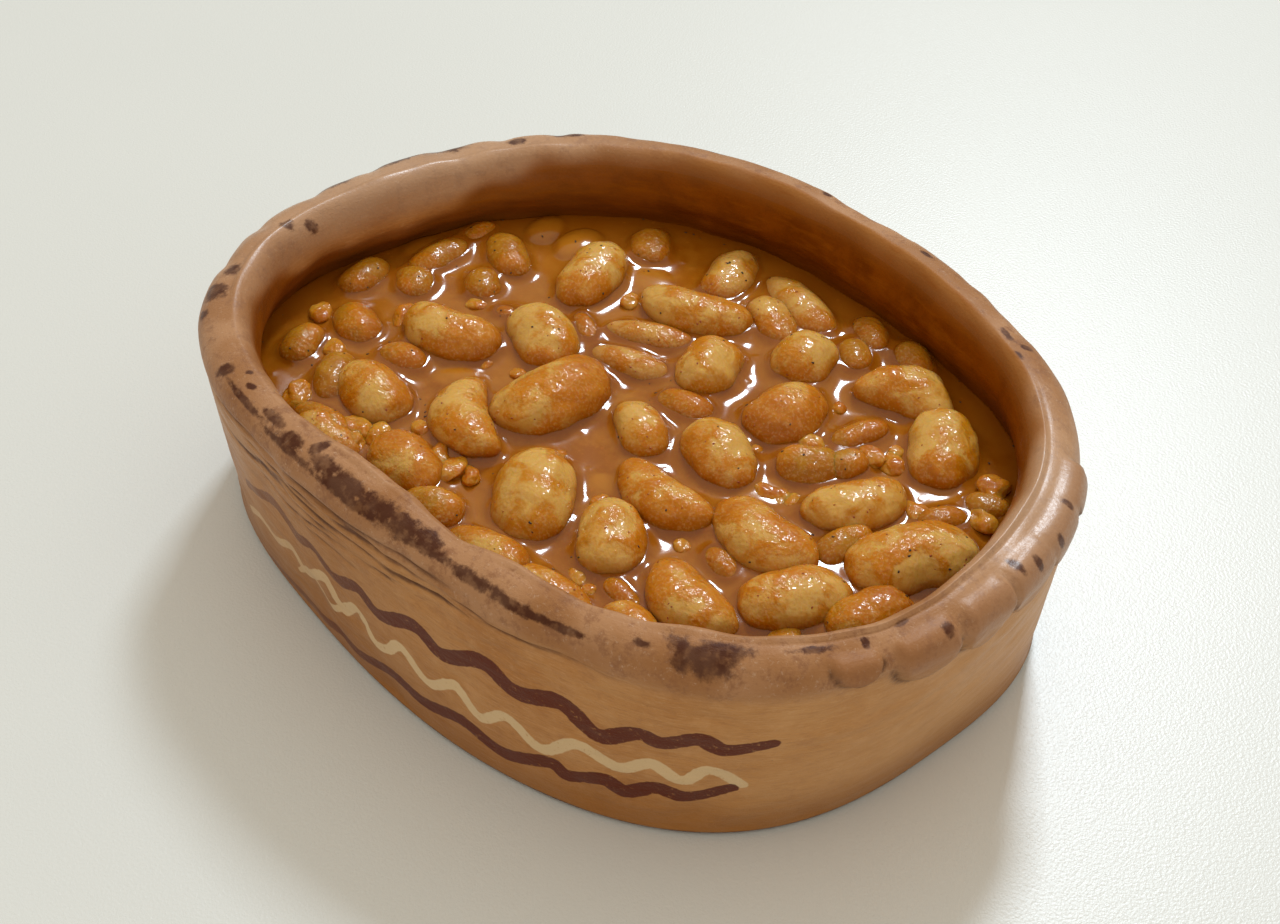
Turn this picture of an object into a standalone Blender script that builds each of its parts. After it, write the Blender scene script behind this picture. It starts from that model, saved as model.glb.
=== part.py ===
"""Baked beans in their oval clay dish.

Two solids: the hand-pressed dish, and the sauce with the beans that stand out of it.
Metres, +Z up. The origin is the middle of the flat base, and X is the long axis.
"""

import math
from collections import namedtuple

import bmesh
import bpy
from mathutils import Matrix, Vector

MM = 0.001
GAP = 0.3 * MM
SEGMENTS = 104
SHARP_EDGE = math.radians(50)

# The dish, over everything
HALF_LENGTH = 90 * MM
HALF_WIDTH = 71 * MM
HEIGHT = 55 * MM
LIP = 12 * MM
WALL = 8.5 * MM
FLOOR = 8 * MM
WALL_HEIGHTS = (30 * MM, 35 * MM, 39 * MM, 44 * MM)
LIP_STEPS = 5
FOOT_ROUND = 1.5 * MM

# The base is smaller than the lip, and sits a little off its middle
BASE_HALF_LENGTH = 84.5 * MM
BASE_HALF_WIDTH = 65.5 * MM
BASE_SHIFT = Vector((-1.2 * MM, -2.1 * MM))

# How square the ovals are: 2 is an ellipse, and more is squarer
SQUARENESS = 2.6

# What the hand left in each oval: waves round it, height as a share of the radius, first crest in degrees
LIP_WAVES = ((2, 0.020, 10), (3, 0.026, -26), (4, 0.018, 2))
BASE_WAVES = ((2, 0.030, 29), (3, 0.016, -30), (4, 0.045, 18), (5, 0.019, -30))

# Clay pressed down over both ends in thumb-wide flaps: direction in degrees, and where its lower edge hangs
FLAP_OUT = 1.6 * MM
FLAP_HALF_TURN = 6.5
FLAP_EDGE = 3 * MM
FLAPS = (
    (-22, 45 * MM),
    (-12, 42 * MM),
    (-2, 38 * MM),
    (9, 41 * MM),
    (153, 44 * MM),
    (165, 41 * MM),
    (177, 40 * MM),
    (189, 42 * MM),
    (200, 45 * MM),
)

# The hollow inside: how far in from the wall its floor and its round corner start, and how high
HOLLOW = ((16 * MM, 0), (5 * MM, 3 * MM), (0, 13 * MM))
UNDER_LIP = 42 * MM

# The contents
SAUCE_LEVEL = 35.7 * MM
BEAN_FLATNESS = 0.8
END_PLUMPNESS = 0.25
BEND_STEP = 2 * MM

# The beans that show, in whole millimetres: middle, length, width, turn in degrees anticlockwise,
# how far the top stands above the sauce, and the bend (positive: the hollow side faces left of the turn)
Bean = namedtuple("Bean", "x y length width turn rise bend", defaults=(0,))
BEANS = (
    Bean(-14, -10, 28, 18, 80, 10, 1),
    Bean(-45, -10, 24, 14, 15, 8, 1),
    Bean(-30, 3, 22, 14, -25, 8),
    Bean(-38, 26, 23, 14, 110, 8),
    Bean(-12, 32, 26, 13, 22, 8, 1),
    Bean(3, 20, 18, 14, 110, 8),
    Bean(16, 36, 16, 14, 100, 8),
    Bean(24, 20, 20, 16, 100, 8),
    Bean(39, 41, 22, 14, 15, 8, -2),
    Bean(54, 33, 23, 15, -55, 8),
    Bean(52, 8, 22, 13, 62, 8, 1),
    Bean(67, 5, 22, 14, 60, 7),
    Bean(23, 1, 20, 14, -20, 8),
    Bean(6, -4, 17, 11, -30, 6),
    Bean(23, -16, 24, 12, -3, 7, 1),
    Bean(45, -11, 24, 14, -5, 8, 1),
    Bean(5, -33, 24, 17, -50, 9),
    Bean(24, -31, 19, 14, -50, 8),
    Bean(46, -33, 22, 13, -10, 8, 1),
    Bean(59, -19, 22, 15, 60, 8),
    Bean(-22, -26, 26, 13, -35, 8, 2),
    Bean(-42, -34, 21, 14, -15, 8),
    Bean(-20, -44, 19, 13, -10, 7),
    Bean(-16, 48, 20, 13, 114, 5),
    Bean(3, 50, 24, 11, -18, 5),
    Bean(2, 42, 17, 10, -28, 5),
    Bean(-14, 20, 20, 9, 28, 4),
    Bean(-11, 10, 20, 9, 15, 4),
    Bean(-58, 19, 18, 10, -28, 5),
    Bean(9, -50, 20, 11, 5, 6),
    Bean(-55, 33, 16, 12, 100, 3),
    Bean(-69, 8, 18, 10, 90, 4),
    Bean(-66, -2, 13, 11, -40, 4),
    Bean(-54, 8, 12, 9, -40, 4),
    Bean(-63, -21, 14, 11, -20, 5),
    Bean(-52, -36, 16, 9, -52, 5),
    Bean(38, 11, 14, 11, 40, 6),
    Bean(57, -2, 14, 8, 80, 5),
    Bean(68, -12, 14, 9, 60, 5),
    Bean(7, 8, 14, 9, 10, 4),
    Bean(33, 52, 14, 9, -35, 4),
    Bean(-38, -50, 18, 11, 0, 6),
    Bean(26, -50, 20, 12, 8, 6),
    Bean(-37, 44, 14, 11, -50, 5),
    Bean(39, 25, 15, 9, 70, 5),
    Bean(-75, -9, 14, 9, 95, 5),
    Bean(-47, -22, 13, 9, 10, 5),
    Bean(-7, -49, 14, 10, 20, 6),
    Bean(45, -46, 18, 12, -15, 6),
    Bean(-66, -34, 13, 9, -60, 5),
)

# Bean meshes: sides round the length, and rings along it
BEAN_SIDES = 9
BEAN_RINGS = 7


def clear_scene():
    for thing in list(bpy.data.objects):
        bpy.data.objects.remove(thing, do_unlink=True)


def new_collection(name):
    collection = bpy.data.collections.new(name)
    bpy.context.scene.collection.children.link(collection)
    return collection


def new_material(name, colour, roughness, metallic=0.0):
    material = bpy.data.materials.new(name)
    material.use_nodes = True
    shader = material.node_tree.nodes["Principled BSDF"]
    shader.inputs["Base Color"].default_value = (*colour, 1.0)
    shader.inputs["Roughness"].default_value = roughness
    shader.inputs["Metallic"].default_value = metallic
    return material


def new_object(name, bm, collection):
    bmesh.ops.recalc_face_normals(bm, faces=bm.faces)
    mesh = bpy.data.meshes.new(name)
    bm.to_mesh(mesh)
    bm.free()
    mesh.shade_smooth()
    mesh.set_sharp_from_angle(angle=SHARP_EDGE)
    thing = bpy.data.objects.new(name, mesh)
    collection.objects.link(thing)
    return thing


def waves(angle, hand_marks):
    """How a hand-pressed oval swells and dips round its outline, 1 on average."""
    return 1 + sum(
        height * math.cos(count * (angle - math.radians(crest)))
        for count, height, crest in hand_marks
    )


def oval(angle, half_length, half_width, hand_marks):
    """Radius of a squarish, uneven oval in one direction."""
    along = abs(math.cos(angle) / half_length) ** SQUARENESS
    across = abs(math.sin(angle) / half_width) ** SQUARENESS
    return (along + across) ** (-1 / SQUARENESS) * waves(angle, hand_marks)


def smooth(share):
    share = min(max(share, 0.0), 1.0)
    return share * share * (3 - 2 * share)


def flap_push(angle, z):
    """How far the pressed flaps stand out of the wall at a direction and height."""
    push = 0.0
    for middle, lower_edge in FLAPS:
        off = (math.degrees(angle) - middle + 180) % 360 - 180
        across = max(1 - (off / FLAP_HALF_TURN) ** 2, 0.0)
        hang = smooth((z - lower_edge) / FLAP_EDGE + 1)
        push = max(push, FLAP_OUT * math.sqrt(across) * hang)
    return push


def outside(angle, z):
    """A point of the dish's outer face, from the base outline at 0 to the lip's at its widest height."""
    share = min(z / (HEIGHT - LIP / 2), 1.0)
    base = oval(angle, BASE_HALF_LENGTH, BASE_HALF_WIDTH, BASE_WAVES)
    lip = oval(angle, HALF_LENGTH, HALF_WIDTH, LIP_WAVES)
    direction = Vector((math.cos(angle), math.sin(angle)))
    return direction * (base + (lip - base) * share) + BASE_SHIFT * (1 - share)


def ring_points(inset, z, with_flaps=False):
    """One ring of the dish: the outer face at height z, drawn in by the inset."""
    points = []
    for step in range(SEGMENTS):
        angle = 2 * math.pi * step / SEGMENTS
        direction = Vector((math.cos(angle), math.sin(angle)))
        reach = flap_push(angle, z) - inset if with_flaps else -inset
        flat = outside(angle, z) + direction * reach
        points.append(Vector((flat.x, flat.y, z)))
    return points


def loft(rings):
    """A closed body through the rings, in order, capped at the first and the last."""
    bm = bmesh.new()
    loops = [[bm.verts.new(point) for point in points] for points in rings]
    for below, above in zip(loops, loops[1:]):
        for i in range(SEGMENTS):
            bm.faces.new((below[i - 1], below[i], above[i], above[i - 1]))
    for end in (loops[0], loops[-1]):
        bm.faces.new(end)
    return bm


def inner_inset(z):
    """How far the inner face lies from the outer: the wall, thickening to the lip's overhang."""
    lip_middle = HEIGHT - LIP / 2
    return WALL + (LIP - WALL) * smooth((z - SAUCE_LEVEL) / (lip_middle - SAUCE_LEVEL))


def inner_rings(top, gap=0.0):
    """The hollow's rings from the floor up to a height, a gap away from the clay."""
    rings = [ring_points(WALL + inset + gap, FLOOR + rise + gap) for inset, rise in HOLLOW]
    heights = [z for z in (SAUCE_LEVEL, UNDER_LIP, HEIGHT - LIP / 2) if z <= top]
    rings += [ring_points(inner_inset(z) + gap, z) for z in heights]
    return rings


def make_dish(collection):
    """Flat base, leaning wall, rounded lip with its end flaps, and the hollow inside."""
    rings = [
        ring_points(FOOT_ROUND, 0),
        ring_points(0, FOOT_ROUND),
    ]
    for z in WALL_HEIGHTS:
        rings.append(ring_points(0, z, with_flaps=True))
    for step in range(LIP_STEPS + 1):
        turn = math.pi * step / LIP_STEPS
        inset = LIP / 2 * (1 - math.cos(turn))
        height = HEIGHT - LIP / 2 + LIP / 2 * math.sin(turn)
        rings.append(ring_points(inset, height, with_flaps=turn < math.pi / 2))
    rings += reversed(inner_rings(UNDER_LIP))
    dish = new_object("clay_pot", loft(rings), collection)
    dish.data.materials.append(new_material("clay", (0.36, 0.19, 0.12), 0.45))
    return dish


def make_bean(bean, collection):
    """A plump bean on its side, bent along its length, with its middle at a depth that gives its rise."""
    length, width = bean.length * MM, bean.width * MM
    thickness = width * BEAN_FLATNESS
    bm = bmesh.new()
    bmesh.ops.create_uvsphere(
        bm,
        u_segments=BEAN_SIDES,
        v_segments=BEAN_RINGS,
        radius=1,
        matrix=Matrix.Rotation(math.radians(90), 4, "Y"),
    )
    for vert in bm.verts:
        along, across, up = vert.co
        plumpness = 1 + END_PLUMPNESS * along * along
        vert.co = Vector(
            (
                along * length / 2,
                across * plumpness * width / 2 + bean.bend * BEND_STEP * (along * along - 0.4),
                up * plumpness * thickness / 2,
            )
        )
    place = Matrix.Translation(
        (bean.x * MM, bean.y * MM, SAUCE_LEVEL + bean.rise * MM - thickness / 2)
    )
    bm.transform(place @ Matrix.Rotation(math.radians(bean.turn), 4, "Z"))
    thing = new_object("bean", bm, collection)
    thing.hide_render = True
    thing.display_type = "WIRE"
    return thing


def boolean(thing, operation, name, operand=None, operands=None):
    modifier = thing.modifiers.new(name, "BOOLEAN")
    modifier.operation = operation
    modifier.solver = "EXACT"
    if operands:
        modifier.operand_type = "COLLECTION"
        modifier.collection = operands
        modifier.use_self = True
    else:
        modifier.object = operand


def make_contents(collection, shapes, cutters):
    """Sauce to its level with the beans joined to it, all kept a gap inside the clay."""
    sauce_rings = inner_rings(SAUCE_LEVEL, GAP)
    contents = new_object("baked_beans", loft(sauce_rings), collection)
    for bean in BEANS:
        make_bean(bean, shapes)
    boolean(contents, "UNION", "beans", operands=shapes)
    hollow_rings = inner_rings(HEIGHT, GAP)
    below = [point - Vector((0, 0, MM)) for point in hollow_rings[0]]
    hollow = new_object("hollow", loft([below] + hollow_rings), cutters)
    hollow.hide_render = True
    hollow.display_type = "WIRE"
    boolean(contents, "INTERSECT", "hollow", operand=hollow)
    contents.data.materials.append(new_material("beans_in_sauce", (0.42, 0.18, 0.05), 0.3))
    return contents


def main():
    clear_scene()
    parts = new_collection("baked_beans_in_pot")
    shapes = new_collection("bean_shapes")
    cutters = new_collection("cutters")
    make_dish(parts)
    make_contents(parts, shapes, cutters)


main()
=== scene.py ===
"""The look of baked beans in their oval clay pot: burnished clay, beans, sauce, floor, light and camera.

Shapes are worked out in millimetres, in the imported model's frame, and scaled to metres when a mesh is made.
"""

import math
from collections import namedtuple

import bmesh
import bpy
import numpy as np
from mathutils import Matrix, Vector


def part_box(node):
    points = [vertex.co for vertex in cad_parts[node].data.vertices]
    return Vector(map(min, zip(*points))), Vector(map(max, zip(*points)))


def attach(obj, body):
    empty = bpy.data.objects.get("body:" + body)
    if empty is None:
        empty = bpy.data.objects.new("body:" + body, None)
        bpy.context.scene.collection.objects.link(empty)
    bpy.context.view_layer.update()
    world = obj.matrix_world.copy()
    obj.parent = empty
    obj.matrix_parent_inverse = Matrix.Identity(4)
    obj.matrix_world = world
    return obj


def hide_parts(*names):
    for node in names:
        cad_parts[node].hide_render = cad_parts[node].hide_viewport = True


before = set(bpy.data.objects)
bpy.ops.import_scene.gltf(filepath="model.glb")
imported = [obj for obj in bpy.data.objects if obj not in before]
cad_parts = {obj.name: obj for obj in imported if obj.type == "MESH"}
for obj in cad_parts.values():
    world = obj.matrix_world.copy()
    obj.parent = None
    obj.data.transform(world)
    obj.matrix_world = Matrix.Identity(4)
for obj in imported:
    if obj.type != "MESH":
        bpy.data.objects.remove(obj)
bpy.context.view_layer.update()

MM = 0.001
BODY = "root"
SEED = 20

# ---------------- sizes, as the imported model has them

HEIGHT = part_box("clay_pot")[1][2] / MM
HALF_LENGTH = 90
HALF_WIDTH = 71
LIP = 12
LIP_CREST = 7.6
LIP_RISE = 6.6
LIP_MIDDLE = HEIGHT - LIP_RISE - 0.4
INNER_SHOULDER = LIP_MIDDLE - 3.0
WALL = 8.5
FLOOR = 8
FOOT_ROUND = 1.5
BASE_HALF_LENGTH = 84.5
BASE_HALF_WIDTH = 65.5
BASE_SHIFT = (-1.2, -2.1)
SQUARENESS = 2.6
LIP_WAVES = ((2, 0.020, 10), (3, 0.026, -26), (4, 0.018, 2))
BASE_WAVES = ((2, 0.030, 29), (3, 0.016, -30), (4, 0.045, 18), (5, 0.019, -30))
SAUCE_LEVEL = 35.7
SAUCE_DEPTH = 12

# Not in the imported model: the clay is soaked below a height, and the wall is thicker in one direction
SOAKED_BELOW = LIP_MIDDLE + 3.5
THICK_AT = 166
THICK_MORE = 3.6
THICK_SPREAD = 30
# Distance from the middle to the lip along the sides, and to the pads at the ends, for lengths round the pot
LIP_REACH = 80
END_REACH = 88
# Streaks in the clay run round the pot, in a space where the pot is a tube of this radius
STREAK_RADIUS = 12

# Mesh fineness
POT_COLUMNS = 760
SAUCE_CELLS = 306
BEAN_FINENESS = 5
BIT_FINENESS = 4


# ---------------- small helpers


def smooth(share):
    """From 0 to 1 as the share does, easing in and out, and level outside that."""
    share = np.clip(share, 0, 1)
    return share * share * (3 - 2 * share)


def ripples(points, wavelength, seed, count=16):
    """Smooth random undulation through space, about 1 high, from a sum of plane waves."""
    rng = np.random.default_rng(SEED + seed)
    turn = rng.normal(size=(3, count))
    turn /= np.linalg.norm(turn, axis=0)
    turn *= 2 * math.pi / wavelength * rng.uniform(0.6, 1.4, count)
    phase = rng.uniform(0, 2 * math.pi, count)
    return np.cos(points @ turn + phase).sum(axis=1) * math.sqrt(2 / count)


def rows(kind, *table):
    """The rows of a table, with its columns named."""
    return tuple(kind(*row) for row in table)


def apart(degrees, middle):
    """Signed turn from a direction, from -180 to 180 degrees."""
    return (degrees - middle + 180) % 360 - 180


def bell(off, spread):
    """1 at nothing, falling off to nothing on both sides."""
    return np.exp(-((off / spread) ** 2))


def near_to(degrees, middle, spread):
    """1 in a direction, falling off to nothing round both sides of it."""
    return bell(apart(degrees, middle), spread)


def make_mesh(name, points, face_groups, material, values=None, vectors=None):
    """A smooth-shaded object from points in millimetres, with named values at its points for the shader."""
    mesh = bpy.data.meshes.new(name)
    faces = [face for group in face_groups for face in group.tolist()]
    mesh.from_pydata((points * MM).tolist(), [], faces)
    for key, value in (values or {}).items():
        layer = mesh.attributes.new(key, "FLOAT", "POINT")
        layer.data.foreach_set("value", np.ascontiguousarray(value, np.float32))
    for key, value in (vectors or {}).items():
        layer = mesh.attributes.new(key, "FLOAT_VECTOR", "POINT")
        layer.data.foreach_set("vector", np.ascontiguousarray(value, np.float32).ravel())
    mesh.shade_smooth()
    mesh.update()
    mesh.materials.append(material)
    thing = bpy.data.objects.new(name, mesh)
    bpy.context.scene.collection.objects.link(thing)
    return thing


def place(thing, node="baked_beans"):
    """The piece hides a node's imported part and rides on the one body."""
    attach(thing, BODY)
    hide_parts(node)


def ring_faces(rings, columns):
    """Quads that join each ring of points to the next, all the way round."""
    row = np.arange(rings - 1)[:, None] * columns
    here = np.arange(columns)[None, :]
    there = (here + 1) % columns
    quads = (row + here, row + there, row + columns + there, row + columns + here)
    return np.stack(quads, -1).reshape(-1, 4)


# ---------------- materials


class Nodes:
    """The node tree of a material or a world, with short calls for the nodes that are needed here.

    Wherever a call takes a socket, it takes a number or a colour too.
    """

    def __init__(self, owner, shader="Principled BSDF"):
        self.owner = owner
        owner.use_nodes = True
        self.tree = owner.node_tree
        self.shader = self.tree.nodes[shader]
        self.coordinates = self.new("ShaderNodeTexCoord").outputs
        self.where = self.coordinates["Object"]
        self.colour = None

    def new(self, kind, **settings):
        """A new node, with its own settings."""
        node = self.tree.nodes.new(kind)
        for key, value in settings.items():
            setattr(node, key, value)
        return node

    def plug(self, source, socket):
        """Links a socket to another, or gives it a fixed value."""
        if hasattr(source, "links"):
            self.tree.links.new(source, socket)
        else:
            socket.default_value = source

    def value(self, name):
        """A value stored at the mesh's points."""
        return self.new("ShaderNodeAttribute", attribute_name=name).outputs["Fac"]

    def vector(self, name):
        """A vector stored at the mesh's points."""
        return self.new("ShaderNodeAttribute", attribute_name=name).outputs["Vector"]

    def noise(self, size, detail=2.0, rough=0.5, where=None, warp=0.0):
        """Noise from 0 to 1 with features of a size in millimetres, or in the vector's own units."""
        node = self.new("ShaderNodeTexNoise")
        self.fill(node, Vector=where or self.where, Scale=1 / size if where else 1 / (size * MM))
        self.fill(node, Detail=detail, Roughness=rough, Distortion=warp)
        return node.outputs["Fac"]

    def cells(self, size):
        """Distance to the nearest of many scattered points, a size in millimetres apart."""
        node = self.new("ShaderNodeTexVoronoi")
        self.fill(node, Vector=self.where, Scale=1 / (size * MM))
        return node.outputs["Distance"]

    def math(self, operation, a, b):
        node = self.new("ShaderNodeMath", operation=operation)
        self.plug(a, node.inputs[0])
        self.plug(b, node.inputs[1])
        return node.outputs[0]

    def add(self, a, b):
        return self.math("ADD", a, b)

    def times(self, a, b):
        return self.math("MULTIPLY", a, b)

    def swing(self, noise, amount):
        """Noise about its middle, from minus half the amount to plus half of it."""
        return self.times(self.math("SUBTRACT", noise, 0.5), amount)

    def ramp(self, value, low, high, to_low=0.0, to_high=1.0, shape="SMOOTHSTEP"):
        """Runs from to_low to to_high as the value runs from low to high."""
        node = self.new("ShaderNodeMapRange", interpolation_type=shape)
        self.fill(node, Value=value, From_Min=low, From_Max=high, To_Min=to_low, To_Max=to_high)
        return node.outputs["Result"]

    def mix(self, share, first, second):
        """From the first colour to the second."""
        node = self.new("ShaderNodeMix", data_type="RGBA")
        self.plug(share, node.inputs["Factor"])
        sockets = [socket for socket in node.inputs if socket.type == "RGBA"]
        for source, socket in zip((first, second), sockets):
            self.plug((*source, 1.0) if isinstance(source, tuple) else source, socket)
        return [socket for socket in node.outputs if socket.type == "RGBA"][0]

    def tint(self, share, paint):
        """Lays a share of another colour over the colour so far."""
        self.colour = self.mix(share, self.colour, paint)

    def bump(self, height, strength, distance, normal=None):
        """A normal tilted by a height, over another normal. The distance is in millimetres."""
        node = self.new("ShaderNodeBump")
        self.fill(node, Strength=strength, Distance=distance * MM, Height=height)
        if normal:
            self.plug(normal, node.inputs["Normal"])
        return node.outputs["Normal"]

    def fill(self, node, **inputs):
        """Sets or links a node's sockets by name."""
        for key, source in inputs.items():
            self.plug(source, node.inputs[key.replace("_", " ")])

    def set(self, **inputs):
        """Sets or links the shader's own sockets."""
        self.fill(self.shader, **inputs)


def surface(name):
    """The node tree of a new material."""
    return Nodes(bpy.data.materials.new(name))


def clay_material(name, gloss):
    """Burnished earthenware: streaks, specks and stains, painted slip outside, sauce-darkened inside, with
    painted light and shade on the wall, the lip ends and the inner face.
    """
    n = surface(name)
    along = n.vector("streak")
    tone = n.noise(30, detail=3)
    streaks = n.noise(1.5, detail=4, rough=0.6, where=along)
    fine_streaks = n.noise(0.4, detail=3, rough=0.65, where=along)
    grain = n.noise(0.6, detail=3, rough=0.7)

    n.colour = n.mix(n.ramp(tone, 0.35, 0.65), (0.48, 0.200, 0.050), (0.58, 0.275, 0.090))
    n.tint(n.ramp(streaks, 0.45, 0.75, 0, 0.3), (0.35, 0.130, 0.035))
    n.tint(n.ramp(fine_streaks, 0.52, 0.70, 0, 0.45), (0.64, 0.35, 0.15))
    n.tint(n.ramp(fine_streaks, 0.30, 0.46, 0.45, 0), (0.34, 0.13, 0.042))
    mottle = n.noise(6, detail=6, rough=0.7)
    n.tint(n.ramp(mottle, 0.5, 0.7, 0, 0.5), (0.64, 0.33, 0.135))
    n.tint(n.ramp(mottle, 0.3, 0.46, 0.35, 0), (0.34, 0.125, 0.040))
    # Painted light: paler clay on the right-hand side of the wall, towards the light
    n.tint(n.value("painted_side_light"), (0.70, 0.39, 0.160))
    # Painted shade: darker towards the foot
    n.tint(n.value("foot"), (0.33, 0.120, 0.020))
    # Painted shade: darker clay on the left-front side of the wall, away from the light
    n.tint(n.value("painted_side_shade"), (0.27, 0.105, 0.028))

    # Paler, pinker clay on the lip, where hands have worn it, with brown showing through in scuffs
    lip = n.value("lip")
    worn_tone = n.mix(n.ramp(n.noise(14, detail=3), 0.38, 0.62), (0.34, 0.145, 0.052), (0.46, 0.235, 0.115))
    n.tint(n.times(lip, 0.85), worn_tone)
    scuffs = n.ramp(n.noise(3.5, detail=5, rough=0.75), 0.47, 0.66, 0, 0.6)
    n.tint(n.times(scuffs, lip), (0.24, 0.092, 0.038))
    chalk = n.ramp(n.noise(1.1, detail=5, rough=0.8), 0.56, 0.70, 0, 0.45)
    n.tint(n.times(chalk, lip), (0.66, 0.46, 0.32))
    # Paler clay where hands have polished both ends of the lip, partly a painted highlight where the light
    # glints there
    n.tint(n.times(n.value("polish_and_painted_highlight"), 0.5), (0.62, 0.40, 0.25))
    n.tint(n.times(n.value("pad"), 0.5), (0.32, 0.130, 0.048))

    # Slip, painted in lines and faded by use towards one end
    patchy = n.noise(1.1, detail=4, rough=0.7)
    edge = n.swing(n.noise(1.3, detail=3), 0.6)
    worn = n.times(n.value("slip_fade"), n.ramp(patchy, 0.26, 0.42, 0.3, 1.0))
    for line, paint, cover in (
        ("cream_slip", (0.78, 0.56, 0.31), 0.92),
        ("dark_slip", (0.120, 0.018, 0.004), 0.98),
    ):
        painted = n.ramp(n.add(n.value(line), edge), -0.16, 0.14)
        n.tint(n.times(n.times(painted, worn), cover), paint)

    # Dark slip and soot on the lip, darker lines in the grooves and along the foot, and a dark crack with
    # painted shade under the pads' lower edges
    ragged = n.swing(n.noise(2.6, detail=6, rough=0.7), 1.8)
    thick = n.ramp(n.noise(2.0, detail=4), 0.32, 0.55, 0.65, 0.96)
    stain = n.times(n.ramp(n.add(n.value("stain"), ragged), 0.0, 0.5), thick)
    stain_colour = n.mix(n.ramp(n.noise(6), 0.42, 0.6), (0.078, 0.018, 0.005), (0.115, 0.042, 0.020))
    n.tint(stain, stain_colour)
    # Darker in the grooves and in a band along the foot
    darkening = n.add(n.value("groove_and_foot_darkening"), n.swing(streaks, 0.9))
    n.tint(n.ramp(darkening, 0.2, 0.7, 0, 0.9), (0.115, 0.038, 0.014))
    # A dark crack with painted shade under the pads' lower edges
    pad_crack_and_shade = n.times(n.value("pad_crack_and_shade"), n.ramp(n.noise(2.2, detail=3), 0.30, 0.50, 0.35, 1.0))
    n.tint(n.times(pad_crack_and_shade, 0.92), (0.10, 0.034, 0.013))

    # Brown and dark specks
    speck = n.ramp(n.noise(1.3, detail=5, rough=0.75), 0.67, 0.74)
    n.tint(n.times(speck, 0.6), (0.13, 0.05, 0.02))

    # Inside, the clay has taken up sauce and oil, with painted shade deepening down the inner wall and
    # painted light near its top and round the left end
    cloudy = n.ramp(n.noise(9, detail=4, rough=0.6), 0.35, 0.65)
    soaked = n.mix(cloudy, (0.24, 0.055, 0.0008), (0.17, 0.036, 0.0005))
    soaked = n.mix(n.value("soak_and_painted_shade"), (0.40, 0.155, 0.030), soaked)
    soaked = n.mix(n.ramp(streaks, 0.45, 0.7, 0, 0.5), soaked, (0.31, 0.085, 0.002))
    n.tint(n.value("inside"), soaked)
    n.tint(n.times(n.value("wet"), 0.7), (0.16, 0.036, 0.001))

    shine = n.ramp(streaks, 0.3, 0.7, 0.33, 0.44)
    shine = n.add(shine, n.times(lip, 0.1))
    normal = n.bump(streaks, 0.35, 0.25)
    normal = n.bump(fine_streaks, 0.25, 0.12, normal)
    normal = n.bump(grain, 0.6, 0.2, normal)
    polished = n.bump(grain, 0.5, 0.07, n.bump(streaks, 0.3, 0.12))
    n.set(Base_Color=n.colour, Roughness=shine, Normal=normal, Coat_Normal=polished)
    # Hands have polished both ends of the lip
    n.set(Coat_Weight=n.times(n.value("polish_and_painted_highlight"), n.ramp(grain, 0.3, 0.7, 0.4, 1.0)))
    n.set(Coat_Roughness=0.28, Specular_IOR_Level=gloss)
    return n.owner


def bean_material(name, pale, gold):
    """Cooked bean: waxy and pale, under a wet film that sparkles and thick sauce that clings in patches."""
    n = surface(name)
    blotch = n.noise(6, detail=3, rough=0.5, warp=0.6)
    fine = n.noise(0.8, detail=3, rough=0.6)
    grains = n.noise(0.6, detail=1, rough=0.6)
    swells = n.noise(1.7, detail=1)
    skin = n.mix(n.ramp(blotch, 0.42, 0.62), pale, gold)
    skin = n.mix(n.ramp(n.noise(0.6, detail=4, rough=0.75), 0.50, 0.72, 0, 0.35), skin, (0.48, 0.17, 0.010))
    coat = n.add(n.value("coat"), n.swing(blotch, 1.4))
    coat = n.add(coat, n.swing(fine, 0.4))
    coated = n.ramp(coat, 0.30, 0.66)
    sauce = n.mix(n.ramp(coat, 0.5, 1.1), (0.56, 0.185, 0.0005), (0.44, 0.118, 0.0003))
    n.colour = n.mix(n.times(coated, 0.88), skin, sauce)
    n.tint(n.value("low"), (0.36, 0.095, 0.001))
    n.tint(n.ramp(grains, 0.50, 0.68, 0, 0.14), (0.84, 0.58, 0.22))
    n.tint(n.ramp(grains, 0.32, 0.50, 0.18, 0), (0.42, 0.14, 0.002))
    speck = n.ramp(n.noise(0.5, detail=4, rough=0.8), 0.665, 0.71)
    n.tint(n.times(speck, 0.65), (0.22, 0.045, 0.004))
    skin_bump = n.bump(n.noise(3.0, detail=2), 0.5, 0.6)
    skin_bump = n.bump(coated, 0.5, 0.3, skin_bump)
    normal = n.bump(grains, 1.0, 0.06, n.bump(swells, 0.5, 0.45, skin_bump))
    film = n.bump(grains, 1.0, 0.05, n.bump(swells, 1.0, 0.45, skin_bump))
    n.set(Base_Color=n.colour, Normal=normal, Coat_Normal=film)
    n.set(Coat_Weight=n.ramp(grains, 0.42, 0.58, 0.1, 1.0))
    n.set(Roughness=n.ramp(fine, 0.3, 0.7, 0.45, 0.35))
    n.set(Specular_IOR_Level=0.15, Coat_Roughness=0.13)
    n.set(Subsurface_Weight=0.45, Subsurface_Radius=(1.0, 0.35, 0.05), Subsurface_Scale=2.0 * MM)
    return n.owner


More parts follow.
